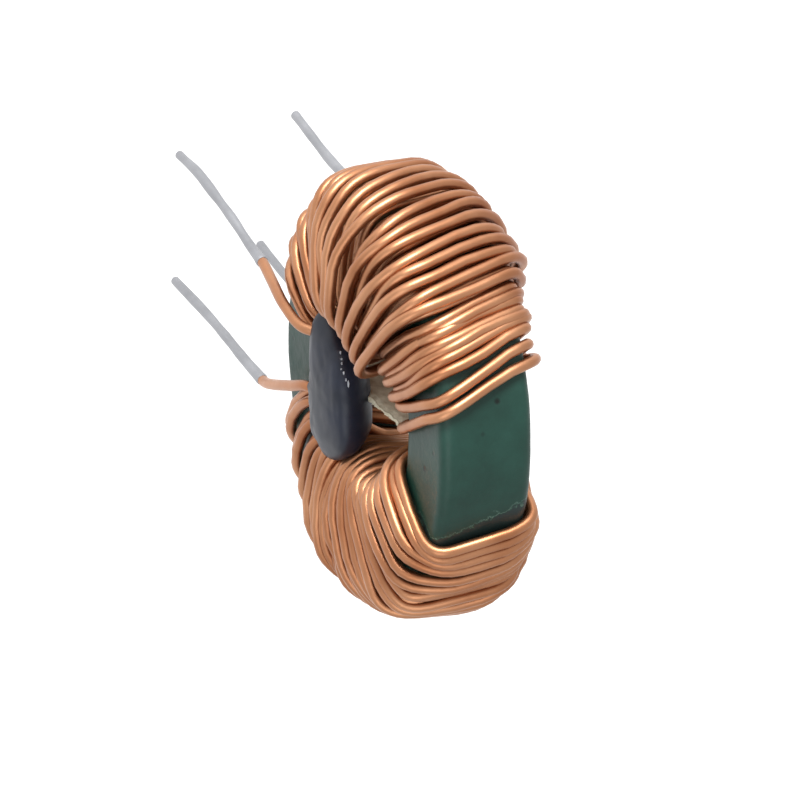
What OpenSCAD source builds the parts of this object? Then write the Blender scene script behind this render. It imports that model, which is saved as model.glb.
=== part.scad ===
// Toroidal inductor: a coated ferrite ring with two windings, each laid in two layers and held
// apart by a card and a drop of glue, on four straight tinned leads. Millimetres.
// The ring stands on edge over its leads: X across, Y to the back, Z up, leads leave at Z = 0.

/* [Ring] */
// Outside diameter of the bare ferrite ring
core_od = 25; // [24.6:0.1:26.4]
// Inside diameter of the bare ferrite ring
core_id = 15; // [14.8:0.1:15.6]
// Height of the bare ferrite ring along its axis
core_h = 5.2; // [4.6:0.1:5.8]
// Thickness of the epoxy coating
coat_t = 0.4; // [0.3:0.05:0.45]

/* [Wire] */
// Diameter over the enamel
wire_d = 0.65; // [0.5:0.01:0.65]
// Gap between the coating and the first layer
bow = 0.2; // [0.18:0.01:0.26]

/* [Leads] */
// Distance between the left and the right leads
lead_x = 10.4; // [9.6:0.1:11]
// Distance between the front and the back leads
lead_y = 9.8; // [9.6:0.1:10.4]
// Diameter of a tinned lead end
tin_d = 0.8; // [0.76:0.01:0.95]
// Length of the tinned end at the front left
front_left_len = 14.3; // [8:0.1:24]
// Length of the tinned end at the front right
front_right_len = 15; // [8:0.1:24]
// Length of the tinned end at the back left
back_left_len = 17.8; // [8:0.1:24]
// Length of the tinned end at the back right
back_right_len = 24.3; // [8:0.1:26]

/* [Card and glue] */
// Thickness of the dividing card
card_t = 0.5; // [0.4:0.05:0.55]
// Depth of the card through the hole
card_depth = 5.2; // [4:0.1:5.4]
// Thickness of the drop of glue
glue_t = 3.2; // [2.4:0.1:3.4]

/* [Hidden] */
$fn = 96;

// core sizes
core_corner = 0.35;
coat_r = core_od/2 + coat_t;
hole_r = core_id/2 - coat_t;
coat_hh = core_h/2 + coat_t;
coat_corner = core_corner + coat_t;
mid_r = (coat_r + hole_r)/2;
half_w = (coat_r - hole_r)/2;

// wire
steps = 16;                      // rings of points in one turn
sides = 6;                       // corners of the wire's section
wire_r = wire_d/2;
layer = wire_d + 0.08;           // lift of a second-layer turn
tight_n = 5;                     // squareness of a tight turn
tight = wire_r + bow;            // from the coating to the centre of a tight turn
near_last = 48;                  // turns below this angle belong to the near end
near_fade = 4;
straight_end = 60;               // turns below this angle go straighter down the back
loose_n = 3.8;                   // squareness of a loose near turn
loose_run = 12;
back_in_n = 4.2;                 // squareness of the second layer where it enters the hole
climb_end = 0.15;                // cosines between which the second layer climbs on the back
climb_run = 0.35;
zig_deep = 0.62;                 // share of a step into the hole that also lifts off the faces
climb_start = 0.185;             // part of the turn at which a wire climbs to the second layer
climb_time = 0.065;
even_c = 0.6;                    // cosine from which an even first layer swells fully
hold_near = 0.38;                // share of the back that a wire goes straight before it leans over
hold_far = 0.25;

// where the ring's centre stands over the leads
ring_x = 0.8;
ring_y = -0.3;
ring_z = 14;
lead_front = lead_y/2 + ring_y;  // from the ring's middle plane to the front leads
lead_back = lead_y/2 - ring_y;   // and to the back leads

// copper part of a lead: points in each bend, and the straight stretch above the board plane
lead_pieces = 5;
lead_straight = 0.6;

// card and glue
card_turn = 3.5;                 // degrees out of upright
card_end = 0.1;                  // gap between each end and the hole's wall
card_gap = 0.06;
glue_gap = 0.06;

// ---------------------------------------------------------------- left winding
// angles round the ring from its top, where the turns cross the outer face, in the order they
// are wound: the far end, the first layer, the near end, then the second layer on the way back
left_far = [159, 153.4, 148.2, 143, 138.2, 133.6, 129.2, 124.8, 120.6, 116.4];
left_under = [109.9, 105.3, 100.8, 95.5, 90.3, 85.2, 80.1, 75.6, 70.2, 65, 61];
left_near = [44.2, 40.6, 37.2, 33, 27.7, 22.7];
left_over = [48.4, 52.2, 55.8, 59, 63, 67, 73.4, 77.8, 82.4, 88, 92.6, 98.4, 103, 107.6, 112.2];
// first and last angle in the hole of each of these groups, and of the lead that follows
left_holes = [[170, 126.5], [119, 69.7], [49, 17.2], [54.5, 123.5], [126.4]];
// step into the hole of every other turn: far end, first layer and second layer
left_zigs = [0.7, 0.35, 0.9];
// swelling and lean along the winding, between the angles of the span
left_span = [20, 165];
left_full = [0, 0.2, 0.7, 1, 0.6, 0, 0];
left_leans = [0.27, 0.27];
left_form = [0.55, 0.4, 1.1, 0.3, 2.5, 2.7, 3.2, 0.53, 46, 62, 0.35, 16, 0.27];

// ---------------------------------------------------------------- right winding
right_far = [144.6, 138.4, 132.6, 127.2, 122, 117.2, 112.4];
right_under = [100.3, 89.3, 78.5, 67.5];
right_near = [38.5, 34.8, 31.1, 27.4, 23.7, 20];
right_over = [42.2, 45.8, 49.4, 53, 56.6, 60.2, 63.8, 71.2, 74.9, 82.1, 85.7, 93, 96.6, 103.9, 107.5];
right_holes = [[158, 123], [110.7, 79.3], [40.5, 8], [45.7, 118.3], [123.5]];
right_zigs = [0.6, 0, 0.95];
right_span = [18, 150];
right_full = [0, 0, 0.7, 1, 0.4, 0, 0];
right_leans = [0.26, 0.36, 0.4, 0.38, 0.34, 0.3, 0.26];
right_form = [0.85, 0.4, 0.45, 0.45, 2.3, 2.3, 2.8, 0.1, 0, 1, 0.3, 8, 0.2];

// places in a form list: swelling outwards, into the hole, to the front and to the back
OUT = 0;
IN = 1;
FRONT = 2;
BACK = 3;
// roundness of the front corner, the back corner and the hole side
FRONT_N = 4;
BACK_N = 5;
IN_N = 6;
// lift of the second layer on the outer face, and the angles between which it grows
NEST = 7;
NEST_FROM = 8;
NEST_TO = 9;
// how loose the near turns are, from which angle on, and the lean in the hole
LOOSE = 10;
LOOSE_FROM = 11;
LEAN_IN = 12;

// ---------------------------------------------------------------- small functions
function mix(a, b, t) = a + (b - a)*t;
function ease(x) = let(t = min(1, max(0, x))) t*t*(3 - 2*t);
function ease_in(x, start) = ease((x - start)/(1 - start));
function spow(v, p) = sign(v)*pow(abs(v), p);
function unit(v) = v/norm(v);
function across(v, t) = unit(v - (v*t)*t);
function spread(ends, n) = [for (k = [0:n - 1]) mix(ends[0], ends[1], k/(n - 1))];
function turned(p) = [for (i = [len(p) - 1:-1:0]) p[i]];

// value of a list of heights at x from 0 to 1, eased from one height to the next
function profile(x, list) =
  let(n = len(list) - 1, t = min(1, max(0, x))*n, i = min(floor(t), n - 1))
  mix(list[i], list[i + 1], ease(t - i));

// ---------------------------------------------------------------- route of a winding
// lists for all turns in the order they are wound; parts holds far, under, near and over
function outer_angles(parts) = concat(parts[0], parts[1], parts[2], parts[3]);
function hole_angles(parts, holes) =
  concat([for (i = [0:3]) each spread(holes[i], len(parts[i]))], holes[4]);
function lifts(parts) =
  [for (i = [0:3]) for (k = parts[i]) i < 3 ? 0 : 1];
function steps_in(parts, zigs) =
  let(far = len(parts[0]), under = len(parts[1]))
  concat([for (k = [0:far - 1]) zigs[0]*((far - 1 - k)%2)],
         [for (k = [0:under - 1]) zigs[1]*((under - 1 - k)%2)],
         [for (k = parts[2]) 0],
         [for (k = [0:len(parts[3])]) zigs[2]*(k%2)]);

// one point of a turn: th runs from the outer face (0) over the back (90), the hole (180) and
// the front (270); lift is 0 or 1 for the layer, full the swelling and zig the step into the hole
function turn_point(side, o, h, th, first_lift, lift, full, zig, hold, lean, form) =
  let(
    c = cos(th),
    s = sin(th),
    front = s < 0,
    nest = form[NEST]*ease((o - form[NEST_FROM])/(form[NEST_TO] - form[NEST_FROM])),
    nested = front ? ease((c + 1)/2) : ease((c - climb_end)/climb_run),
    loose = (1 - lift)*ease((near_last - o)/near_fade)*ease((o - form[LOOSE_FROM])/loose_run),
    bulge = full*(front ? form[FRONT] : form[BACK]) + form[LOOSE]*loose*ease(2*c),
    out = half_w + tight + nest*first_lift + full*form[OUT] + form[LOOSE]*loose,
    in = half_w + tight + layer*lift + full*form[IN] + zig,
    deep = coat_hh + tight + mix(layer, nest, nested)*lift + bulge + zig*(1 - c)*zig_deep,
    outer_n = front ? form[FRONT_N] : form[BACK_N],
    inner_n = front ? form[IN_N] : back_in_n,
    n = c > 0 && loose > 0 ? mix(tight_n, loose_n, loose) : mix(tight_n, c > 0 ? outer_n : inner_n, full),
    r = mid_r + (c > 0 ? out : in)*spow(c, 2/n),
    f = -deep*spow(s, 2/n),
    inward = (mid_r + out - r)/(out + in),
    moved = s > 0 ? ease_in(inward, hold) : inward,
    slope = mix(form[LEAN_IN], lean, ease((c + 1)/2)),
    a = side*mix(o, h, moved) - slope*f/r*180/PI)
  [-r*sin(a), r*cos(a), f];

// all the points of a winding, from the middle of the hole back to the middle of the hole; with
// even, the first layer swells at its outer corners as the second one does
function turns(side, parts, holes, zigs, span, fulls, leans, even, form) =
  let(
    outer = outer_angles(parts),
    hole = hole_angles(parts, holes),
    lift = lifts(parts),
    zig = steps_in(parts, zigs),
    last = len(outer) - 1)
  [for (j = [-1:last]) for (k = [j < 0 ? steps/2 : 0:j < last ? steps - 1 : steps/2])
    let(
      a = max(j, 0),
      b = min(j + 1, last),
      t = k/steps,
      o = mix(outer[a], outer[b], ease(5*t - 2)),
      up = mix(lift[a], lift[b], ease((t - climb_start)/climb_time)),
      first_lift = t < 0.5 ? lift[a] : lift[b],
      grown = mix(lift[a], lift[b], ease(10*t - 2.5)),
      x = (o - span[0])/(span[1] - span[0]),
      full = profile(x, fulls)*(even ? mix(ease(cos(360*t)/even_c), 1, grown) : grown),
      hold = outer[a] < straight_end && lift[a] < 1 ? hold_near : hold_far)
    turn_point(side, o, hole[j + 1], 360*t, first_lift, up, full, zig[j + 1], hold,
               profile(x, leans), form)];

// smooth route through the points of q; the first and the last only steer it
function curve_point(a, b, c, d, t) =
  b + (c - a)*t/2 + (2*a - 5*b + 4*c - d)*t*t/2 + (3*b - a - 3*c + d)*t*t*t/2;
function curve(q, m) =
  [for (i = [1:len(q) - 3]) for (k = [1:m]) curve_point(q[i - 1], q[i], q[i + 1], q[i + 2], k/m)];

// route of a lead that goes on from the turns p through the points q, then straight down the last
// stretch to the board plane at [x, z]
function lead(p, q, x, z) =
  let(n = len(p), top = [x, -ring_z, z], knee = [x, lead_straight - ring_z, z])
  concat(curve(concat([p[n - 2], p[n - 1]], q, [knee, top]), lead_pieces), [top]);

// ---------------------------------------------------------------- a round wire along points p
function tangent(p, i) = unit(p[min(i + 1, len(p) - 1)] - p[max(i - 1, 0)]);
function normals(p) =
  let(t0 = tangent(p, 0), first = abs(t0[2]) < 0.9 ? [0, 0, 1] : [1, 0, 0])
  [for (i = 0, n = across(first, t0); i < len(p);
        i = i + 1, n = i < len(p) ? across(n, tangent(p, i)) : n) n];
function ring_of_points(p, i, n, d) =
  let(m = cross(tangent(p, i), n))
  [for (k = [0:sides - 1]) p[i] + d/2*(cos(360*k/sides)*n + sin(360*k/sides)*m)];
function two_faces(a, b) = [[a, a + sides, b], [b, a + sides, b + sides]];
module wire(p, d) {
  rows = len(p);
  n = normals(p);
  points = [for (i = [0:rows - 1]) each ring_of_points(p, i, n[i], d)];
  skin = [for (i = [0:rows - 2]) for (k = [0:sides - 1])
    each two_faces(i*sides + k, i*sides + (k + 1)%sides)];
  start = [for (k = [0:sides - 1]) k];
  end = [for (k = [sides - 1:-1:0]) (rows - 1)*sides + k];
  polyhedron(points, concat([start], skin, [end]));
}

// ---------------------------------------------------------------- routes of both wires
left_parts = [left_far, left_under, left_near, left_over];
right_parts = [right_far, right_under, right_near, right_over];
left_turns = turns(1, left_parts, left_holes, left_zigs, left_span, left_full, left_leans,
                   false, left_form);
right_turns = turns(-1, right_parts, right_holes, right_zigs, right_span, right_full, right_leans,
                    true, right_form);

left_x = -lead_x/2 - ring_x;
right_x = lead_x/2 - ring_x;
left_front_bends = [
  [-3.3, -3, 1.7], [-3, -3.7, 3.5], [-3.05, -5, 5], [-3.5, -7.4, 5.3], [-4.2, -10.4, 5.1],
  [-5.4, -12.4, 4.75]
];
right_front_bends = [
  [3.2, -3, 1.7], [2.2, -3.3, 3.2], [1.1, -4.5, 4.6], [1.7, -7, 4.9], [3.1, -10.2, 4.8],
  [4.1, -12.2, lead_front]
];
left_back_bends = [
  [-0.45, -5.8, -3.3], [-0.8, -6.5, -4.7], [-2.2, -8.3, -5.5], [-4, -10.6, -5.5],
  [-5.4, -12.4, -lead_back]
];
right_back_bends = [
  [3, -5.9, -3.2], [3.5, -7, -4.3], [4, -9.2, -5], [4.3, -11.8, -lead_back]
];
left_front = lead(left_turns, left_front_bends, left_x, lead_front);
right_front = lead(right_turns, right_front_bends, right_x, lead_front);
left_back = lead(turned(left_turns), left_back_bends, left_x, -lead_back);
right_back = lead(turned(right_turns), right_back_bends, right_x, -lead_back);

// ---------------------------------------------------------------- placing and repeated shapes
module on_ring() {
  translate([ring_x, ring_y, ring_z]) rotate([90, 0, 0]) children();
}

// half section of a ring with rounded corners
module ring_section(r_in, r_out, hh, corner) {
  translate([r_in + corner, -hh]) square([r_out - r_in - 2*corner, 2*hh]);
  translate([r_in, corner - hh]) square([r_out - r_in, 2*(hh - corner)]);
  for (r = [r_in + corner, r_out - corner]) {
    for (z = [corner - hh, hh - corner]) {
      translate([r, z]) circle(corner);
    }
  }
}

// straight tinned end of a lead, from the board plane down
module tinned_end(x, y, length) {
  translate([x, y, -length]) {
    cylinder(h = length, d = tin_d);
  }
}

module card_block(gap) {
  rotate([0, 0, card_turn]) {
    translate([-card_t/2 - gap, card_end - hole_r - gap, -card_depth/2 - gap]) {
      cube([card_t + 2*gap, 2*(hole_r - card_end + gap), card_depth + 2*gap]);
    }
  }
}

// ---------------------------------------------------------------- the pieces
module ferrite_core() {
  color([0.2, 0.2, 0.22]) on_ring() rotate_extrude() {
    ring_section(core_id/2, core_od/2, core_h/2, core_corner);
  }
}

module core_coating() {
  color([0.24, 0.37, 0.33]) on_ring() rotate_extrude() {
    difference() {
      ring_section(hole_r, coat_r, coat_hh, coat_corner);
      ring_section(core_id/2, core_od/2, core_h/2, core_corner);
    }
  }
}

module winding_left() {
  color([0.72, 0.38, 0.13]) on_ring() wire(concat(turned(left_back), left_turns, left_front), wire_d);
}

module winding_right() {
  color([0.72, 0.38, 0.13]) on_ring() wire(concat(turned(right_back), right_turns, right_front), wire_d);
}

module tin_front_left() {
  color([0.75, 0.76, 0.78]) tinned_end(-lead_x/2, -lead_y/2, front_left_len);
}

module tin_front_right() {
  color([0.75, 0.76, 0.78]) tinned_end(lead_x/2, -lead_y/2, front_right_len);
}

module tin_back_left() {
  color([0.75, 0.76, 0.78]) tinned_end(-lead_x/2, lead_y/2, back_left_len);
}

module tin_back_right() {
  color([0.75, 0.76, 0.78]) tinned_end(lead_x/2, lead_y/2, back_right_len);
}

module divider_card() {
  color([0.85, 0.8, 0.68]) on_ring() card_block(0);
}

module glue() {
  color([0.05, 0.06, 0.12]) on_ring() difference() {
    translate([-0.1, -1.9, 3.2]) resize([8, 7.2, glue_t]) sphere(d = 6, $fn = 24);
    card_block(card_gap);
    wire(left_front, wire_d + 2*glue_gap);
    wire(right_front, wire_d + 2*glue_gap);
  }
}

ferrite_core();
core_coating();
winding_left();
winding_right();
tin_front_left();
tin_front_right();
tin_back_left();
tin_back_right();
divider_card();
glue();
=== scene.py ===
import math
import bpy
from mathutils import Euler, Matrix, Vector, noise


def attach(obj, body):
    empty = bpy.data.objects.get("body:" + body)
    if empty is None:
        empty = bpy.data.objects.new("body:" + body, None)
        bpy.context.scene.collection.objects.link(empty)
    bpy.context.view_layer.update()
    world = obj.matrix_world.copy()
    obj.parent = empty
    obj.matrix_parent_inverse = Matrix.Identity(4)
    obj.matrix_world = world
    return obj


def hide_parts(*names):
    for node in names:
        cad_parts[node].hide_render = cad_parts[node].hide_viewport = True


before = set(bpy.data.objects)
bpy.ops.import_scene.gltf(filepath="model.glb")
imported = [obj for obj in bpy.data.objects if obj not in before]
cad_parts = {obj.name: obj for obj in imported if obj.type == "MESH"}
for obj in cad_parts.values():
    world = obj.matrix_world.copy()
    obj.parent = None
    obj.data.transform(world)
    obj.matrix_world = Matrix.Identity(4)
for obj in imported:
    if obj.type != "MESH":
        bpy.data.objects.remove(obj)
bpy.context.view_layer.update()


# ------------------------------------------------------------------ ferrite core
# A sintered ring of manganese-zinc ferrite, the heart of the choke. It is black-grey and matt, and
# nothing of it shows, because the coating below seals it all over.

def linear(hex_colour):
    """sRGB hex colour as linear RGBA."""
    parts = [int(hex_colour[i:i + 2], 16)/255 for i in (1, 3, 5)]
    return [p/12.92 if p <= 0.04045 else ((p + 0.055)/1.055)**2.4 for p in parts] + [1.0]


def new_material(name):
    """An empty node material and its node tree."""
    material = bpy.data.materials.new(name)
    material.use_nodes = True
    material.node_tree.nodes.clear()
    return material, material.node_tree


def add(tree, kind, settings=None, values=None, links=None):
    """Add one node: settings are its properties, values its sockets, links the sockets it reads."""
    node = tree.nodes.new("ShaderNode" + kind)
    for key, value in (settings or {}).items():
        setattr(node, key, value)
    for key, value in (values or {}).items():
        node.inputs[key].default_value = value
    for key, socket in (links or {}).items():
        tree.links.new(socket, node.inputs[key])
    return node


def set_stops(ramp, stops):
    """Give a colour ramp its stops: (place, colour)."""
    elements = ramp.color_ramp.elements
    while len(elements) < len(stops):
        elements.new(0.5)
    for element, (place, colour) in zip(elements, stops):
        element.position = place
        element.color = colour


def grey(value):
    """A grey as linear RGBA."""
    return (value, value, value, 1.0)


ferrite, tree = new_material("sintered ferrite")
where = add(tree, "TexCoord")
# pressed powder: grains of about 0.1 mm, drawn at 0.3 mm
grain = add(tree, "TexNoise", values={"Scale": 3300.0, "Detail": 4.0},
            links={"Vector": where.outputs["Object"]})
ramp = add(tree, "ValToRGB", links={"Fac": grain.outputs["Fac"]})
set_stops(ramp, [(0.3, linear("#26272a")), (0.7, linear("#3a3b3e"))])
bump = add(tree, "Bump", values={"Strength": 0.3, "Distance": 0.00005},
           links={"Height": grain.outputs["Fac"]})
shader = add(tree, "BsdfPrincipled", values={"Roughness": 0.75, "IOR": 1.6},
             links={"Base Color": ramp.outputs["Color"], "Normal": bump.outputs["Normal"]})
add(tree, "OutputMaterial", links={"Surface": shader.outputs["BSDF"]})
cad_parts["ferrite_core"].data.materials.clear()
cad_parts["ferrite_core"].data.materials.append(ferrite)


# ------------------------------------------------------------------ epoxy coating
# Green epoxy powder, fused on the hot ring into a satin skin 0.4 mm thick. It flows a little before it
# sets, so the corners are soft, the faces carry a faint orange peel, and there are pinholes and nibs.

MM = 0.001
RING_X, RING_Y, RING_Z = 0.8, -0.3, 14.0      # ring centre over the middle of the leads
OUTER_R, HOLE_R, HALF_H = 12.9, 7.1, 3.0      # coated ring
MID_R = (OUTER_R + HOLE_R)/2
HALF_W = (OUTER_R - HOLE_R)/2
CORNER = 0.75                                 # size of its soft corners
AROUND, CORNER_STEPS, FACE_STEPS = 360, 6, 12
SWELL, SWELL_RATE = 0.05, 0.33                # slow unevenness: height in mm, waves to the mm
RIPPLE, RIPPLE_RATE = 0.018, 1.3              # the finer unevenness on it
# the flaked wedge on the outer face, which also holds a painted highlight and the painted shadow of the
# right winding's last turn, in degrees from the ring's top: where it starts in the middle of the face,
# how much later for each mm to the front, and where it ends
FLAKE_FROM, FLAKE_SLANT, FLAKE_TO = 15.6, 1.75, 30
FLAKE_PER_DEGREE, FLAKE_PER_MM = 0.225, 2     # how fast the mark rises past its start, and off the rims
UNFLAKED = -2


def in_row(p):
    """Ring millimetres (x across, y up, z to the front) to metres over the leads."""
    return Vector((RING_X + p[0], RING_Y - p[2], RING_Z + p[1]))*MM


def finish_piece(piece, material, slot, *nodes):
    """Give a piece its material and its body, and hide the CAD nodes that it stands for. slot is not used.
    """
    piece.data.materials.clear()
    piece.data.materials.append(material)
    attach(piece, "root")
    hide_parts(*nodes)


def deselect():
    if bpy.context.object and bpy.context.object.mode != "OBJECT":
        bpy.ops.object.mode_set(mode="OBJECT")
    bpy.ops.object.select_all(action="DESELECT")


deselect()
bpy.ops.mesh.primitive_plane_add(size=1, location=(0, 0, 0))
coating = bpy.context.object
coating.name = "epoxy_coating"
# the plane becomes the ring's section, standing on the ring's axis, with rounded corners
bpy.ops.object.mode_set(mode="EDIT")
bpy.ops.mesh.select_all(action="SELECT")
bpy.ops.transform.resize(value=(2*HALF_W*MM, 2*HALF_H*MM, 1))
bpy.ops.mesh.bevel(offset=CORNER*MM, segments=CORNER_STEPS, affect="VERTICES", profile=0.5)
bpy.ops.mesh.select_all(action="SELECT")
bpy.ops.mesh.delete(type="ONLY_FACE")
bpy.ops.mesh.select_all(action="SELECT")
bpy.ops.transform.translate(value=(MID_R*MM, 0, 0))
bpy.ops.object.mode_set(mode="OBJECT")
# long straight sides are divided so that the unevenness has points to move
outline = coating.data.vertices
longest = [edge.index for edge in coating.data.edges
           if (outline[edge.vertices[0]].co - outline[edge.vertices[1]].co).length > 1.0*MM]
bpy.ops.object.mode_set(mode="EDIT")
bpy.ops.mesh.select_all(action="DESELECT")
bpy.ops.mesh.select_mode(type="EDGE")
bpy.ops.object.mode_set(mode="OBJECT")
for index in longest:
    coating.data.edges[index].select = True
bpy.ops.object.mode_set(mode="EDIT")
bpy.ops.mesh.subdivide(number_cuts=FACE_STEPS)
bpy.ops.mesh.select_all(action="SELECT")
bpy.ops.mesh.spin(steps=AROUND, angle=math.tau, center=(0, 0, 0), axis=(0, 1, 0))
bpy.ops.mesh.select_all(action="SELECT")
bpy.ops.mesh.remove_doubles(threshold=0.00001)
bpy.ops.mesh.normals_make_consistent(inside=False)
bpy.ops.object.mode_set(mode="OBJECT")

corner_shade = coating.data.attributes.new("painted_corner_shade", "FLOAT", "POINT")
flaked_and_shaded = coating.data.attributes.new("flaked_and_shaded", "FLOAT", "POINT")
for vertex in coating.data.vertices:
    # spun about y: x and z lie in the ring's plane, y along its axis
    p = Vector((vertex.co.x, vertex.co.z, -vertex.co.y))/MM
    r = math.hypot(p.x, p.y)
    angle = math.degrees(math.atan2(-p.x, p.y))      # from the top of the ring, to the left positive
    outwards, frontwards = (1 if r > MID_R else -1), (1 if p.z > 0 else -1)
    # how far round a corner the point lies, and from that the direction in which it is raised
    across = Vector((max(abs(r - MID_R) - HALF_W + CORNER, 0)*outwards,
                     max(abs(p.z) - HALF_H + CORNER, 0)*frontwards))
    if across.length > 1e-6:
        side = across.normalized()
    elif abs(r - MID_R)/HALF_W > abs(p.z)/HALF_H:
        side = Vector((outwards, 0))
    else:
        side = Vector((0, frontwards))
    rise = SWELL*noise.noise(p*SWELL_RATE) + RIPPLE*noise.noise(p*RIPPLE_RATE)
    # how far round a corner the point lies, which the material darkens as painted shade
    corner_shade.data[vertex.index].value = min(across.length/CORNER, 1)
    # beside the right winding's last turn the skin has flaked, in a wedge that widens to the back; the mark
    # also holds a painted highlight on its lip and the painted shadow of that turn
    flake_and_shade = UNFLAKED
    if r > MID_R and -FLAKE_TO < angle < 0:
        flake_and_shade = (abs(angle) - FLAKE_FROM - FLAKE_SLANT*p.z)*FLAKE_PER_DEGREE
    flake_and_shade = min(flake_and_shade, (HALF_H - abs(p.z))*FLAKE_PER_MM)
    flaked_and_shaded.data[vertex.index].value = max(flake_and_shade, UNFLAKED)
    r += side.x*rise
    p = Vector((p.x, p.y, 0))*(r/math.hypot(p.x, p.y)) + Vector((0, 0, p.z + side.y*rise))
    vertex.co = in_row(p)

epoxy, tree = new_material("green epoxy powder coat")
where = add(tree, "TexCoord")
spot = where.outputs["Object"]
# slow mottling about 4 mm across, where the skin is thicker or thinner
mottle = add(tree, "TexNoise", values={"Scale": 260.0, "Detail": 5.0, "Roughness": 0.62},
             links={"Vector": spot})
tint = add(tree, "ValToRGB", links={"Fac": mottle.outputs["Fac"]})
set_stops(tint, [(0.3, linear("#1d4138")), (0.5, linear("#244c42")), (0.72, linear("#2c564c"))])
# orange peel of 0.8 mm, and pinholes 2 mm apart, drawn coarse enough to show: 0.2 mm wide, with a soft
# rim out to 0.5 mm
peel = add(tree, "TexNoise", values={"Scale": 1250.0, "Detail": 3.0, "Roughness": 0.5},
           links={"Vector": spot})
pores = add(tree, "TexVoronoi", values={"Scale": 520.0, "Randomness": 1.0}, links={"Vector": spot})
pit = add(tree, "MapRange", values={"From Min": 0.05, "From Max": 0.13, "To Min": 1.0, "To Max": 0.0},
          links={"Value": pores.outputs["Distance"]})
height = add(tree, "Math", {"operation": "MULTIPLY_ADD"}, {1: -0.6},
             {0: pit.outputs["Result"], 2: peel.outputs["Fac"]})
bump = add(tree, "Bump", values={"Strength": 0.35, "Distance": 0.00012},
           links={"Height": height.outputs["Value"]})
dark = add(tree, "Mix", {"data_type": "RGBA", "blend_type": "MULTIPLY"}, {"B": linear("#5a6e66")},
           {"Factor": pit.outputs["Result"], "A": tint.outputs["Color"]})
# the soft corners are darkened in colour: painted shade on the corners
edge = add(tree, "Attribute", {"attribute_name": "painted_corner_shade"})
corner_shade_part = add(tree, "Math", {"operation": "MULTIPLY"}, {1: 0.8}, {0: edge.outputs["Fac"]})
corner_shaded = add(tree, "Mix", {"data_type": "RGBA", "blend_type": "MULTIPLY"}, {"B": linear("#a9b3b0")},
              {"Factor": corner_shade_part.outputs["Value"], "A": dark.outputs["Result"]})
# the flaked wedge: a pale lip, ragged at about 0.7 mm, partly a lifted lip and partly a painted highlight,
# then a darker patch, partly the under-coat and partly the painted shadow of the last turn
ragged = add(tree, "TexNoise", values={"Scale": 1500.0, "Detail": 6.0, "Roughness": 0.7},
             links={"Vector": spot})
lip_place = add(tree, "Attribute", {"attribute_name": "flaked_and_shaded"})
torn = add(tree, "Math", {"operation": "MULTIPLY_ADD"}, {1: 2.2},
           {0: ragged.outputs["Fac"], 2: lip_place.outputs["Fac"]})
inside = add(tree, "MapRange", values={"From Min": 1.0, "From Max": 1.12},
             links={"Value": torn.outputs["Value"]})
lip_highlight = add(tree, "ValToRGB", links={"Fac": torn.outputs["Value"]})
set_stops(lip_highlight, [(0.84, grey(0)), (0.92, grey(1)), (0.99, grey(0))])
under = add(tree, "Mix", {"data_type": "RGBA"}, {"B": linear("#1b2b2b")},
            {"Factor": inside.outputs["Result"], "A": corner_shaded.outputs["Result"]})
lip_highlight_part = add(tree, "Math", {"operation": "MULTIPLY"},
               links={0: lip_highlight.outputs["Color"], 1: pores.outputs["Distance"]})
skin = add(tree, "Mix", {"data_type": "RGBA"}, {"B": linear("#6d8a7c")},
           {"Factor": lip_highlight_part.outputs["Value"], "A": under.outputs["Result"]})
rough = add(tree, "MapRange", values={"To Min": 0.36, "To Max": 0.5}, links={"Value": mottle.outputs["Fac"]})
shader = add(tree, "BsdfPrincipled", values={"IOR": 1.36},
             links={"Base Color": skin.outputs["Result"], "Roughness": rough.outputs["Result"],
                    "Normal": bump.outputs["Normal"]})
add(tree, "OutputMaterial", links={"Surface": shader.outputs["BSDF"]})
finish_piece(coating, epoxy, "coating", "core_coating")
deselect()
coating.select_set(True)
bpy.context.view_layer.objects.active = coating
bpy.ops.object.shade_smooth()


# ------------------------------------------------------------------ windings
# Two lengths of enamelled copper wire, 0.6 mm bare, wound by hand in two layers on the two halves of
# the ring. Stiff wire bows off the faces and corners; the second layer climbs in the first one's grooves.

WIRE_D = 0.71                 # over the enamel, drawn a little thick so that neighbours close up
WIRE_R = WIRE_D/2
WIRE_SIDES = 12
BOW = 0.2                     # how far a turn bows off the coating
TIGHT = 0.325 + BOW           # from the coating to the middle of a first-layer wire
LAYER = 0.73                  # lift of a second-layer turn that lies on the first layer
TIGHT_N, LOOSE_N = 5, 3.8     # squareness of a turn pulled tight, and of a loose one
HOLE_BACK_N = 4.2             # squareness of a full turn in the back half of the hole
STACKED_N = 2.6               # least squareness of a first-layer turn that climbs on others in the hole
COME_IN = 12                  # degrees of ring over which slack or pressing comes in
PULLED_IN = -0.7              # slack of the turns that are pulled in before the slack ones
STEPS = 40                    # points in one turn
# parts of a turn, from 0 to 1 once round, as (start, length): where it steps on to the next angle, where
# it climbs to the second layer, and where the second layer's bulge grows
STEP_ON, CLIMB, GROW = (0.4, 0.2), (0.26, 0.07), (0.25, 0.1)
BACK_NEST = (0.15, 0.35)      # the same in its cosine: where a nested turn leaves its groove at the back
# share of its way inwards over the back after which a turn moves sideways: when it climbs, near the
# end, and elsewhere
HOLD_CLIMBING, HOLD_NEAR, HOLD = 0.55, 0.38, 0.25
NEAR_END = 60                 # degrees from the ring's top that count as near
END_BEND = 1.8                # power that bends the end turn over late, beside the one before


def mix(a, b, t):
    return a + (b - a)*t


def ease(t):
    t = min(1.0, max(0.0, t))
    return t*t*(3 - 2*t)


def part(t, stretch):
    """How much of a (start, length) stretch t has passed, eased."""
    return ease((t - stretch[0])/stretch[1])


def spow(value, power):
    return math.copysign(abs(value)**power, value) if abs(value) > 1e-12 else 0.0


def spread(ends, count):
    return [mix(ends[0], ends[1], k/(count - 1)) for k in range(count)]


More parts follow.
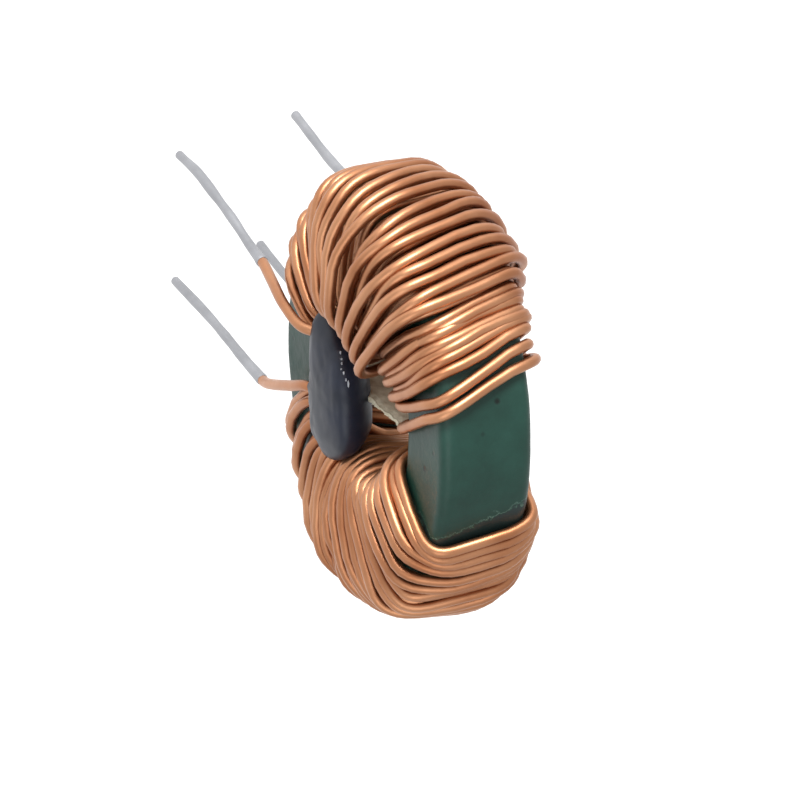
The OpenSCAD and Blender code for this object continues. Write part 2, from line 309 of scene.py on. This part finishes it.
def profile(x, heights):
    """Value of a list of heights at x from 0 to 1, eased from one to the next."""
    last = len(heights) - 1
    t = min(1.0, max(0.0, x))*last
    i = min(int(t), last - 1)
    return mix(heights[i], heights[i + 1], ease(t - i))


def turn_point(side, outer, hole, t, first_lift, lift, full, slack, stack, hold, late, lean, form):
    """A point of one turn. t runs once round from the outer face over the back, hole and front.
    stack is how far the turn lies on others where it enters the hole: (inwards, off the faces)."""
    c, s = math.cos(math.tau*t), math.sin(math.tau*t)
    face = "front" if s < 0 else "back"
    grow_from, grow_to = form["nest_angles"]
    nest = form["nest"]*ease((outer - grow_from)/(grow_to - grow_from))
    nested = ease((c + 1)/2) if s < 0 else part(c, BACK_NEST)
    loose = slack*(1 - lift)*ease((outer - form["loose_from"])/COME_IN)
    pressed = form["press"]*(1 - lift)*ease((outer - grow_from)/COME_IN)
    bulge = full*form[face] + form["loose"]*loose*ease(2*c) - pressed
    out = HALF_W + TIGHT + nest*first_lift + full*form["out"] + form["loose"]*loose
    into = HALF_W + TIGHT + LAYER*lift + full*form["in"] + stack[0]
    deep = HALF_H + TIGHT + mix(LAYER, nest*form["corner"], nested)*lift + bulge + stack[1]*(1 - c)
    rounder = ease(stack[0])*(1 - lift)*(s < 0)
    if c > 0:
        n = mix(TIGHT_N, LOOSE_N, loose) if loose > 0 else mix(TIGHT_N, form[face + "_n"], full)
        n = mix(n, max(form["front_n"], STACKED_N), rounder)
    else:
        n = mix(TIGHT_N, form["in_n"] if s < 0 else HOLE_BACK_N, max(full, rounder))
    r = MID_R + (out if c > 0 else into)*spow(c, 2/n)
    z = -deep*spow(s, 2/n)
    inward = (MID_R + out - r)/(out + into)
    moved = ease((inward - hold)/(1 - hold)) if s > 0 else inward**late
    slope = mix(form["lean_in"], lean, ease((c + 1)/2))
    a = math.radians(side*mix(outer, hole, moved)) - slope*z/r
    return Vector((-r*math.sin(a), r*math.cos(a), z))


def wind(side, far, under, near, over, holes, stacks, span, fulls, leans, form):
    """All points of a winding from the middle of the hole back to it: far end, first layer, near
    end, then the second layer on the way back. side is 1 for left and -1 for right. far to over are the
    turns' outer angles from the ring's top. holes and stacks have one entry for each passage of the
    hole. fulls and leans are the second layer's bulge and the slope along the span of angles."""
    outer = far + under + near + over
    single = len(far) + len(under) + len(near)
    lift = [0]*single + [1]*len(over)
    # the near turns are wound slackly, and the few before them are pulled in
    slack = ([0]*(len(far) + len(under) - form["pressed"]) + [PULLED_IN]*form["pressed"]
             + spread(form["slack"], len(near)) + [0]*len(over))
    last = len(outer) - 1
    points = []
    for j in range(-1, last + 1):
        # four fixed draws for each turn; the factors only keep them apart
        loosely = 1 + form["uneven"]*noise.noise(Vector((j*3.7, side*5.0, 0.5)))
        shift = form["stray"]*noise.noise(Vector((j*2.3, side*9.0, 4.5)))
        slant = 1 + form["slant"]*noise.noise(Vector((j*4.1, side*3.0, 8.5)))
        sunk = form["sink"]*noise.noise(Vector((j*5.3, side*2.0, 2.5)))
        for k in range(STEPS//2 if j < 0 else 0, STEPS if j < last else STEPS//2 + 1):
            a, b = max(j, 0), min(j + 1, last)
            t = k/STEPS
            o = mix(outer[a], outer[b], part(t, STEP_ON))
            up = mix(lift[a], lift[b], part(t, CLIMB))
            first_lift = lift[a] if t < 0.5 else lift[b]
            x = (o - span[0])/(span[1] - span[0])
            full = profile(x, fulls)*mix(lift[a], lift[b], part(t, GROW))
            # each turn is pulled a little more or less than its neighbours where it crosses a face
            crossing = math.sin(math.tau*t)**2
            full *= mix(1, loosely, crossing)
            late = END_BEND if j + 1 == single - 1 else 1
            near_end = outer[a] < NEAR_END and lift[a] < 1
            hold = HOLD_CLIMBING if lift[b] > lift[a] else HOLD_NEAR if near_end else HOLD
            points.append(turn_point(side, o + shift*crossing*up, holes[j + 1], t, first_lift, up, full,
                                     slack[a] if t < 0.5 else slack[b], stacks[j + 1], hold, late,
                                     slant*profile(x, leans), form))
            points[-1].z += math.copysign(sunk*crossing*up, points[-1].z)
    # hand-wound wire is never quite straight
    return [p + form["wander"]*wander(p*0.35 + Vector((0, 0, 7.0*side))) for p in points]


def wander(p):
    """A drift in all three directions. noise.noise_vector isn't used, because it gives other values in
    each run."""
    return Vector([noise.noise(p + Vector((31.0*k, 17.0*k, 0))) for k in range(3)])


def every_other(count, inwards, off):
    """Stacks of a row of passages in which every other one lies on its neighbours."""
    return [(inwards, off) if (count - 1 - k) % 2 else (0, 0) for k in range(count)]


def smooth_route(q, pieces=8):
    """Smooth curve through the points of q; the first and the last only steer it."""
    q = [Vector(p) for p in q]
    route = []
    for a, b, c, d in zip(q, q[1:], q[2:], q[3:]):
        for k in range(1, pieces + 1):
            t = k/pieces
            route.append(b + (c - a)*(t/2) + (2*a - 5*b + 4*c - d)*(t*t/2) + (3*b - a - 3*c + d)*(t**3/2))
    return route


def round_wire(name, points, radii, sides):
    """A round wire along ring points in mm, as a mesh. radii is one number or one for each point."""
    data = bpy.data.curves.new(name, "CURVE")
    data.dimensions = "3D"
    data.bevel_depth = MM
    data.bevel_resolution = sides//4
    data.use_fill_caps = True
    spline = data.splines.new("POLY")
    spline.points.add(len(points) - 1)
    for k, (bead, p) in enumerate(zip(spline.points, points)):
        bead.co = (*in_row(p), 1)
        bead.radius = radii[k] if isinstance(radii, list) else radii
    wire = bpy.data.objects.new(name, data)
    bpy.context.scene.collection.objects.link(wire)
    deselect()
    wire.select_set(True)
    bpy.context.view_layer.objects.active = wire
    bpy.ops.object.convert(target="MESH")
    bpy.ops.object.shade_smooth()
    return wire


# How each winding lies, in mm unless it says otherwise.
# out, in, front, back: bulge of the second layer off each face; front_n, back_n, in_n: its squareness there
# nest: lift of a second-layer turn in the grooves of the first, which comes in between nest_angles
# corner: share of that lift kept at the corners; lean_in: slope in the hole, mm to the mm
# loose: how far slack turns stand off, from the angle loose_from; slack: of the first and last near turn
# press: how far first-layer turns past the first nest angle are pressed in; pressed: how many are pulled in
# uneven, slant: shares, and stray (degrees) and sink: how much turns differ; wander: drift of the wire
left_form = {"out": 0.5, "in": 0.4, "front": 1.1, "back": 0.05, "front_n": 2.5, "back_n": 2.5,
             "in_n": 3.2, "nest": 0.53, "nest_angles": (43, 50), "corner": 1, "lean_in": 0.27,
             "loose": 0.12, "loose_from": 16, "slack": (1, -1), "press": 0.05, "pressed": 5,
             "uneven": 0.5, "slant": 0.35, "stray": 2.4, "sink": 0.25, "wander": 0.14}
left_far = [159, 153.4, 148.2, 143, 138.2, 133.6, 129.2, 124.8, 120.6, 116.4]
left_under = [109.9, 105.3, 100.4, 95.1, 89.8, 84.6, 79.5, 74.7, 70.1, 65.6, 61.4, 57.6, 54.2,
              51.2, 48.4, 45.6, 42.4, 39.2, 35.8]
left_near = [43.3, 38, 32.6, 28.2, 24]
left_over = [48.6, 52.4, 55.8, 59.4, 63.4, 67.8, 72.4, 77, 82, 87.2, 92.4, 97.8, 103, 107.6, 112.2]
left_turns = wind(
    1, left_far, left_under, left_near, left_over,
    spread([170, 126.5], 10) + spread([119, 60], 15) + [55, 49, 42, 34] + [47, 40, 31.5, 27, 13.5]
    + spread([54.5, 123.5], 15) + [126.4],
    every_other(10, 0.7, 0.43) + every_other(19, 0.35, 0.22)
    + [(0.95, 0.55), (0.7, 0.42), (0.4, 0.25), (0, 0), (0, 0)] + every_other(16, 0.9, 0.56),
    [20, 165], [0, 0.2, 0.7, 1, 0.25, 0, 0], [0.45, 0.33, 0.31, 0.29, 0.27, 0.27, 0.27], left_form)
right_form = {"out": 0.05, "in": 0.4, "front": 0.1, "back": 0.15, "front_n": 2.15, "back_n": 2.3,
              "in_n": 2.8, "nest": 0.56, "nest_angles": (38, 50), "corner": 0.35, "lean_in": 0.2,
              "loose": 0.2, "loose_from": 8, "slack": (1.4, 0.3), "press": 0, "pressed": 1,
              "uneven": 0.9, "slant": 0.6, "stray": 5.2, "sink": 0.6, "wander": 0.22}
right_far = [144.6, 138.4, 132.6, 127.2, 122, 117.2, 112.4]
right_under = [105.3, 100.8, 96.4, 92, 87.6, 83.2, 78.8, 74.4, 70, 65.6, 61.2, 56.8, 52.4, 48.1,
               44.2, 40.6]
right_near = [37, 33, 29, 26, 23, 20]
right_over = [41.2, 46, 50.2, 54.6, 59, 63.4, 67.8, 72.2, 76.6, 81, 85.4, 89.8, 94.2, 98.6, 103, 107.6]
# the right winding's second layer heaps up in the middle of the hole, every other turn higher
right_heap = [(profile(k/16, [1.15, 1.8, 2.0, 1.7, 1.1]) - 0.4 + 0.25*(-1)**k, 0.12) for k in range(17)]
right_turns = wind(
    -1, right_far, right_under, right_near, right_over,
    spread([158, 123], 7) + spread([118, 52], 15) + [45, 38, 29, 20, 9, 11, 6]
    + spread([46, 119], 16) + [123.5],
    every_other(7, 0.6, 0.37) + every_other(16, 0.3, 0.1)
    + [(1.7, 0.9), (1.5, 0.85), (1.3, 0.8), (1.1, 0.75), (0.4, 0.25), (0, 0)] + right_heap,
    [18, 150], [0, 0, 0.7, 1, 0.3, 0, 0], [0.26, 0.36, 0.4, 0.38, 0.34, 0.3, 0.26], right_form)

# each lead as far as its tinned end, then the tinned end itself, in ring millimetres
lead_bends = {
    "front_left": [(-3.3, -3, 1.7), (-3, -3.7, 3.5), (-3.05, -4.9, 5), (-3.6, -7.4, 5.3),
                   (-4.1, -10.4, 5)],
    "front_right": [(3.2, -3, 1.7), (2.2, -3.3, 3.2), (0.9, -4.3, 4.6), (1.9, -7.1, 4.9),
                    (3.2, -10.4, 4.8)],
    "back_left": [(-0.45, -5.8, -3.3), (-0.8, -6.5, -4.7), (-2.2, -8.3, -5.5), (-4, -11, -5.5)],
    "back_right": [(3, -5.9, -3.2), (3.5, -7, -4.3), (4, -9.2, -5), (4.3, -12, -5.2)],
}
tinned = {
    "front_left": [(-4.5, -12.6, 4.8), (-4.7, -15.2, 4.7), (-5.35, -18.5, 4.7), (-5.8, -21.8, 4.7),
                   (-6.2, -25.1, 4.7), (-6.2, -28.4, 4.7)],
    "front_right": [(3.85, -12.6, 4.6), (3.75, -15.9, 4.6), (3.5, -19.7, 4.6), (3.35, -23.6, 4.6),
                    (3.35, -29.2, 4.6)],
    "back_left": [(-5.4, -13.8, -5.2), (-5.5, -18, -5.2), (-5.7, -25, -5.2), (-6.75, -32.1, -5.2)],
    "back_right": [(4.6, -14, -5.2), (5.2, -20, -5.2), (5.9, -30, -5.2), (5.25, -38.2, -5.2)],
}


def lead(turns, name):
    """Route of a lead that goes on from a winding's last points to its tinned end."""
    start, after = [Vector(p) for p in tinned[name][:2]]
    return smooth_route([turns[-2], turns[-1], *lead_bends[name], start, after])


def winding(name, turns, front, back):
    route = lead(turns[::-1], back)[::-1] + turns + lead(turns, front)
    return round_wire(name, route, WIRE_R, WIRE_SIDES)


copper, tree = new_material("enamelled copper wire")
where = add(tree, "TexCoord")
spot = where.outputs["Object"]
# the varnish is thicker and redder in places, over stretches of some 5 mm
varnish = add(tree, "TexNoise", values={"Scale": 180.0, "Detail": 3.0}, links={"Vector": spot})
tone = add(tree, "ValToRGB", links={"Fac": varnish.outputs["Fac"]})
set_stops(tone, [(0.3, linear("#97603f")), (0.5, linear("#ab7857")), (0.72, linear("#ba8866"))])
# drawing marks and dents a few hundredths of a mm deep, about 0.5 mm apart
dents = add(tree, "TexNoise", values={"Scale": 1900.0, "Detail": 2.0}, links={"Vector": spot})
bump = add(tree, "Bump", values={"Strength": 0.12, "Distance": 0.00006},
           links={"Height": dents.outputs["Fac"]})
rough = add(tree, "MapRange", values={"To Min": 0.36, "To Max": 0.48}, links={"Value": dents.outputs["Fac"]})
shader = add(tree, "BsdfPrincipled", values={"Metallic": 1.0, "Coat Weight": 0.12, "Coat Roughness": 0.3},
             links={"Base Color": tone.outputs["Color"], "Roughness": rough.outputs["Result"],
                    "Normal": bump.outputs["Normal"]})
add(tree, "OutputMaterial", links={"Surface": shader.outputs["BSDF"]})

for name, turns, front, back in (("left_wire", left_turns, "front_left", "back_left"),
                                 ("right_wire", right_turns, "front_right", "back_right")):
    wire = winding(name, turns, front, back)
    finish_piece(wire, copper, "copper", "winding_" + name.split("_")[0])


# ------------------------------------------------------------------ tinned lead ends
# The last 15 to 25 mm of each lead is stripped and dipped in solder. The tin runs down in slow waves,
# thicker in places, and is left with a cut or rounded tip.

TIN_R = 0.33
TIN_SIDES = 16
TIN_STEPS = 16                # points from one bend to the next
TIN_WAVE, TIN_WAVE_RATE = 0.14, 0.45          # how much its thickness varies, and waves to the mm
TIN_ROOT, TIN_ROOT_FADE = 0.3, 6              # extra thickness at the top, and points over which it fades
TIN_TIP = 0.3                 # how far the tip goes on past the last point of its route

tin, tree = new_material("solder dip")
where = add(tree, "TexCoord")
spot = where.outputs["Object"]
# dull grey solder: the skin is frosted in patches of about 2 mm, which give it a soft, uneven shine
waves = add(tree, "TexNoise", values={"Scale": 520.0, "Detail": 5.0}, links={"Vector": spot})
tone = add(tree, "ValToRGB", links={"Fac": waves.outputs["Fac"]})
set_stops(tone, [(0.25, linear("#909195")), (0.75, linear("#a6a7ab"))])
bump = add(tree, "Bump", values={"Strength": 0.3, "Distance": 0.00012},
           links={"Height": waves.outputs["Fac"]})
rough = add(tree, "MapRange", values={"To Min": 0.42, "To Max": 0.62}, links={"Value": waves.outputs["Fac"]})
shader = add(tree, "BsdfPrincipled", values={"Metallic": 1.0},
             links={"Base Color": tone.outputs["Color"], "Roughness": rough.outputs["Result"],
                    "Normal": bump.outputs["Normal"]})
add(tree, "OutputMaterial", links={"Surface": shader.outputs["BSDF"]})

for seed, name in enumerate(tinned):
    ends = [Vector(p) for p in tinned[name]]
    route = smooth_route([ends[0]*2 - ends[1], *ends, ends[-1]*2 - ends[-2]], TIN_STEPS)
    route = [ends[0]] + route + [ends[-1] + (ends[-1] - ends[-2]).normalized()*TIN_TIP]
    radii = [TIN_R*(1 + TIN_WAVE*noise.noise(p*TIN_WAVE_RATE + Vector((seed*7.0, 0, 0)))
                    + TIN_ROOT*math.exp(-k/TIN_ROOT_FADE))
             for k, p in enumerate(route)]
    radii[0] = WIRE_R + 0.01      # the solder starts just outside the wire
    sleeve = round_wire("tin_" + name, route, radii, TIN_SIDES)
    sleeve.name = "solder_" + name
    bpy.ops.object.shade_smooth_by_angle(angle=math.radians(50))
    finish_piece(sleeve, tin, "solder", "tin_" + name)


# ------------------------------------------------------------------ dividing card
# A strip of cream pressboard pushed across the hole between the windings. Its front edge is torn, with
# loose fibres.

CARD_T, CARD_DEPTH, CARD_TURN = 0.5, 5.2, 3.5     # the last in degrees from upright
CARD_STEPS = 140, 52          # squares along the card, and from back to front
CARD_PLAY = 0.1               # from each end of the card to the coating's hole
# shares of the depth, from the card's middle: where tears start, where thinning starts, over how much
TORN, THINNED, THIN_OVER = 0.44, 0.42, 0.08
FRAY, FLUFF = (0.16, 1.6, 2), (0.09, 5, 5)        # tears: mm, rate along the card, rate through it
BUCKLE, BUCKLE_RATE = 0.04, 0.8               # unevenness of the faces: mm, waves to the mm
TORN_THINNER = 0.55           # share of the thickness that the torn edge has lost

deselect()
bpy.ops.mesh.primitive_grid_add(x_subdivisions=CARD_STEPS[0], y_subdivisions=CARD_STEPS[1], size=1,
                                location=(0, 0, 0))
card = bpy.context.object
card.name = "pressboard_card"
solidify = card.modifiers.new("thickness", "SOLIDIFY")
solidify.thickness = CARD_T
solidify.offset = 0
bpy.ops.object.modifier_apply(modifier=solidify.name)
turn = math.radians(CARD_TURN)
for vertex in card.data.vertices:
    along, deep, thick = vertex.co.x*2*(HOLE_R - CARD_PLAY), vertex.co.y, vertex.co.z
    z = deep*CARD_DEPTH
    if deep > TORN:
        z += (FRAY[0]*noise.noise(Vector((along*FRAY[1], 3.0, thick*FRAY[2])))
              + FLUFF[0]*noise.noise(Vector((along*FLUFF[1], 8.0, thick*FLUFF[2]))))
    thick += BUCKLE*noise.noise(Vector((along*BUCKLE_RATE, z*BUCKLE_RATE, 1.0)))
    thick *= 1 - TORN_THINNER*ease((deep - THINNED)/THIN_OVER)
    x, y = thick, along
    vertex.co = in_row((x*math.cos(turn) - y*math.sin(turn), x*math.sin(turn) + y*math.cos(turn), z))

board, tree = new_material("cream pressboard")
where = add(tree, "TexCoord")
spot = where.outputs["Object"]
# wood fibres lying along the card. Real ones are too fine to show, so they are drawn 0.9 mm long, 0.6 mm
# wide and 0.2 mm thick. They give the card its dull, speckled look.
stretch = add(tree, "Mapping", values={"Scale": (1.0, 0.3, 0.18)}, links={"Vector": spot})
fibres = add(tree, "TexNoise", values={"Scale": 6000.0, "Detail": 4.0},
             links={"Vector": stretch.outputs["Vector"]})
tone = add(tree, "ValToRGB", links={"Fac": fibres.outputs["Fac"]})
set_stops(tone, [(0.3, linear("#b5ae96")), (0.65, linear("#dcd7c2"))])
bump = add(tree, "Bump", values={"Strength": 0.5, "Distance": 0.00008},
           links={"Height": fibres.outputs["Fac"]})
shader = add(tree, "BsdfPrincipled", values={"Roughness": 0.85, "IOR": 1.45},
             links={"Base Color": tone.outputs["Color"], "Normal": bump.outputs["Normal"]})
add(tree, "OutputMaterial", links={"Surface": shader.outputs["BSDF"]})
finish_piece(card, board, "card", "divider_card")


# ------------------------------------------------------------------ glue
# A drop of dark epoxy potting glue, laid over the card's end and both front leads. It has slumped
# between the turns and set with a satin skin and one wrinkle, whose pale flecks are painted highlights.

GLUE_CENTRE = Vector((0.2, -2.1, 3.9))
GLUE_FRONT, GLUE_BACK = 1.25, 2.1             # how far it stands in front of its centre, and behind it
# where the drop has run to, seen from the front: pointed along the left lead, square at the bottom
GLUE_EDGE = [(-4.4, -4.3), (-2.8, -4.9), (-1.2, -4.5), (0.3, -4.5), (0.9, -5.1), (1.5, -4.6),
             (3.0, -4.2), (4.6, -4.0), (4.5, -3.2), (5.0, -2.4), (4.6, -0.9), (3.6, 0.4), (2.4, 1.0),
             (1.0, 0.9), (-0.6, 0.6), (-1.9, 0.0), (-3.0, -1.2), (-3.8, -2.6), (-4.2, -3.6)]
FLANK, CROWN = 0.8, 0.85      # powers that fill out the drop's rim and flatten its top
SAG, DIMPLE = (0.1, 1.6), (0.04, 5)           # unevenness: share of its height, rate over its half width
# pale flecks along the skin's one wrinkle, painted highlights: place, and half the height of a fleck twice
# as wide
FLECKS = [(-2.78, -0.88, 4.08, 0.07), (-2.51, -0.55, 4.13, 0.045), (-2.30, -0.35, 4.19, 0.06),
          (-2.01, -0.17, 4.29, 0.04), (-1.80, 0.02, 4.20, 0.07), (-1.45, 0.27, 4.13, 0.06),
          (-1.19, 0.41, 4.03, 0.12)]
FLECK_T = 0.05                # half a fleck's thickness
FLECK_ROUGH, FLECK_RATE = 0.3, 1.5            # raggedness of a fleck, and its rate over half the fleck


def edge_reach(angle):
    """Distance from the glue's centre to its edge at an angle, from the nearest two edge points."""
    spokes = [(x - GLUE_CENTRE.x, y - GLUE_CENTRE.y) for x, y in GLUE_EDGE]
    polar = sorted((math.atan2(y, x), math.hypot(x, y)) for x, y in spokes)
    polar = [(polar[-1][0] - math.tau, polar[-1][1])] + polar + [(polar[0][0] + math.tau, polar[0][1])]
    for (a, p), (b, q) in zip(polar, polar[1:]):
        if a <= angle <= b:
            return mix(p, q, (angle - a)/(b - a))
    return polar[0][1]


deselect()
bpy.ops.mesh.primitive_uv_sphere_add(segments=144, ring_count=72, radius=1, location=(0, 0, 0))
drop = bpy.context.object
drop.name = "glue_drop"
for vertex in drop.data.vertices:
    x, y, z = vertex.co
    angle = math.atan2(y, x)
    reach = edge_reach(angle)*math.hypot(x, y)**FLANK
    sag = (1 + SAG[0]*noise.noise(Vector((x, y, z))*SAG[1])
           + DIMPLE[0]*noise.noise(Vector((x, y, z))*DIMPLE[1]))
    high = (GLUE_FRONT if z > 0 else GLUE_BACK)*math.copysign(abs(z)**CROWN, z)*sag
    vertex.co = in_row(GLUE_CENTRE + Vector((reach*math.cos(angle), reach*math.sin(angle), high)))
bpy.ops.object.mode_set(mode="EDIT")
bpy.ops.mesh.select_all(action="SELECT")
bpy.ops.mesh.vertices_smooth(factor=0.5, repeat=3)
bpy.ops.object.mode_set(mode="OBJECT")
bpy.ops.object.shade_smooth()

skin_faces = len(drop.data.polygons)
for k, (*place, size) in enumerate(FLECKS):
    deselect()
    bpy.ops.mesh.primitive_ico_sphere_add(subdivisions=3, radius=1, location=(0, 0, 0))
    fleck = bpy.context.object
    for vertex in fleck.data.vertices:
        spot_on_fleck = vertex.co*FLECK_RATE + Vector((k*3.0, 0, 0))
        away = vertex.co*(1 + FLECK_ROUGH*noise.noise(spot_on_fleck))
        vertex.co = in_row(Vector(place) + Vector((2*size*away.x, size*away.y, FLECK_T*away.z)))
    bpy.ops.object.shade_smooth()
    drop.select_set(True)
    bpy.context.view_layer.objects.active = drop
    bpy.ops.object.join()

potting, tree = new_material("dark epoxy glue")
where = add(tree, "TexCoord")
spot = where.outputs["Object"]
cloud = add(tree, "TexNoise", values={"Scale": 420.0, "Detail": 4.0}, links={"Vector": spot})
tone = add(tree, "ValToRGB", links={"Fac": cloud.outputs["Fac"]})
set_stops(tone, [(0.3, linear("#141925")), (0.75, linear("#202637"))])
# the set skin is rippled, about 2.4 mm from crest to crest with finer ripples on that, so its sheen is soft
bump = add(tree, "Bump", values={"Strength": 0.25, "Distance": 0.0001},
           links={"Height": cloud.outputs["Fac"]})
shader = add(tree, "BsdfPrincipled", values={"Roughness": 0.42, "IOR": 1.4},
             links={"Base Color": tone.outputs["Color"], "Normal": bump.outputs["Normal"]})
add(tree, "OutputMaterial", links={"Surface": shader.outputs["BSDF"]})
finish_piece(drop, potting, "glue", "glue")

glint_paint, tree = new_material("painted highlight flecks")
where = add(tree, "TexCoord")
# painted highlights: pale grey flecks, mottled with a grain of 0.1 mm, pale wherever they lie
grain = add(tree, "TexNoise", values={"Scale": 9000.0, "Detail": 2.0},
            links={"Vector": where.outputs["Object"]})
tone = add(tree, "ValToRGB", links={"Fac": grain.outputs["Fac"]})
set_stops(tone, [(0.3, linear("#8d929c")), (0.7, linear("#c9ccd2"))])
shader = add(tree, "BsdfPrincipled", values={"Roughness": 0.35, "IOR": 1.5},
             links={"Base Color": tone.outputs["Color"]})
add(tree, "OutputMaterial", links={"Surface": shader.outputs["BSDF"]})
drop.data.materials.append(glint_paint)
for polygon in drop.data.polygons:
    if polygon.index >= skin_faces:
        polygon.material_index = 1


# ------------------------------------------------------------------ floor, light and camera
# A plain white floor under the lead tips, soft light from the left and above, and a long lens above
# the front left corner, turned so that the leads point to the upper left.

FLOOR_Z = -24.6                               # mm, just under the longest lead
FLOOR_GREY, FLOOR_GLOW = 0.75, 0.45           # what the floor reflects, and what it adds to be seen white
SKY_LIGHT = 0.55                              # strength of the sky as light; it is seen at 1, white
# lamps: place in metres, width in metres, watts
KEY = (-0.45, -0.06, 0.2), 0.2, 3.6
FILL = (0.1, -0.3, 0.45), 0.4, 0.7
LENS, SENSOR = 166.63, 36                     # mm
CAMERA_PLACE = (-92.44, -86.65, 209.34 - 15.0 + RING_Z)     # mm
CAMERA_TURN = (-24.7186, -22.9407, 92.2809)   # degrees


def seen_directly(tree):
    """1 for camera, glossy and transmission rays, and 0 for the light that falls on the pieces."""
    path = add(tree, "LightPath")
    seen = add(tree, "Math", {"operation": "MAXIMUM"},
               links={0: path.outputs["Is Camera Ray"], 1: path.outputs["Is Glossy Ray"]})
    seen = add(tree, "Math", {"operation": "MAXIMUM"},
               links={0: seen.outputs["Value"], 1: path.outputs["Is Transmission Ray"]})
    return seen.outputs["Value"]


deselect()
bpy.ops.mesh.primitive_plane_add(size=4, location=(0, 0, FLOOR_Z*MM))
floor = bpy.context.object
floor.name = "studio_floor"
white, tree = new_material("white studio floor")
# matt white paint, which takes the pieces' shadow; its own glow brings it to white where it is seen
glow_strength = add(tree, "Math", {"operation": "MULTIPLY"}, {1: FLOOR_GLOW}, {0: seen_directly(tree)})
paint = add(tree, "BsdfDiffuse", values={"Color": grey(FLOOR_GREY)})
glow = add(tree, "Emission", values={"Color": grey(1.0)}, links={"Strength": glow_strength.outputs["Value"]})
both = add(tree, "AddShader", links={0: paint.outputs["BSDF"], 1: glow.outputs["Emission"]})
add(tree, "OutputMaterial", links={"Surface": both.outputs["Shader"]})
floor.data.materials.append(white)

world = bpy.data.worlds.new("studio")
bpy.context.scene.world = world
world.use_nodes = True
tree = world.node_tree
tree.nodes.clear()
level = add(tree, "MapRange", values={"To Min": SKY_LIGHT, "To Max": 1.0},
            links={"Value": seen_directly(tree)})
sky = add(tree, "Background", values={"Color": grey(1.0)}, links={"Strength": level.outputs["Result"]})
add(tree, "OutputWorld", links={"Surface": sky.outputs["Background"]})


def soft_box(name, place, size, watts, aim):
    """A round soft lamp at place that shines at aim."""
    data = bpy.data.lights.new(name, "AREA")
    data.shape = "DISK"
    data.size = size
    data.energy = watts
    lamp = bpy.data.objects.new(name, data)
    lamp.location = place
    lamp.rotation_euler = (Vector(aim) - Vector(place)).to_track_quat("-Z", "Y").to_euler()
    bpy.context.scene.collection.objects.link(lamp)


centre = (RING_X*MM, RING_Y*MM, RING_Z*MM)
soft_box("key", *KEY, centre)
soft_box("fill", *FILL, centre)

lens = bpy.data.cameras.new("camera")
lens.sensor_width = SENSOR
lens.lens = LENS
lens.clip_start, lens.clip_end = 0.01, 10
camera = bpy.data.objects.new("camera", lens)
camera.location = Vector(CAMERA_PLACE)*MM
camera.rotation_euler = Euler([math.radians(a) for a in CAMERA_TURN])
bpy.context.scene.collection.objects.link(camera)
bpy.context.scene.camera = camera
bpy.context.scene.view_settings.view_transform = "Standard"
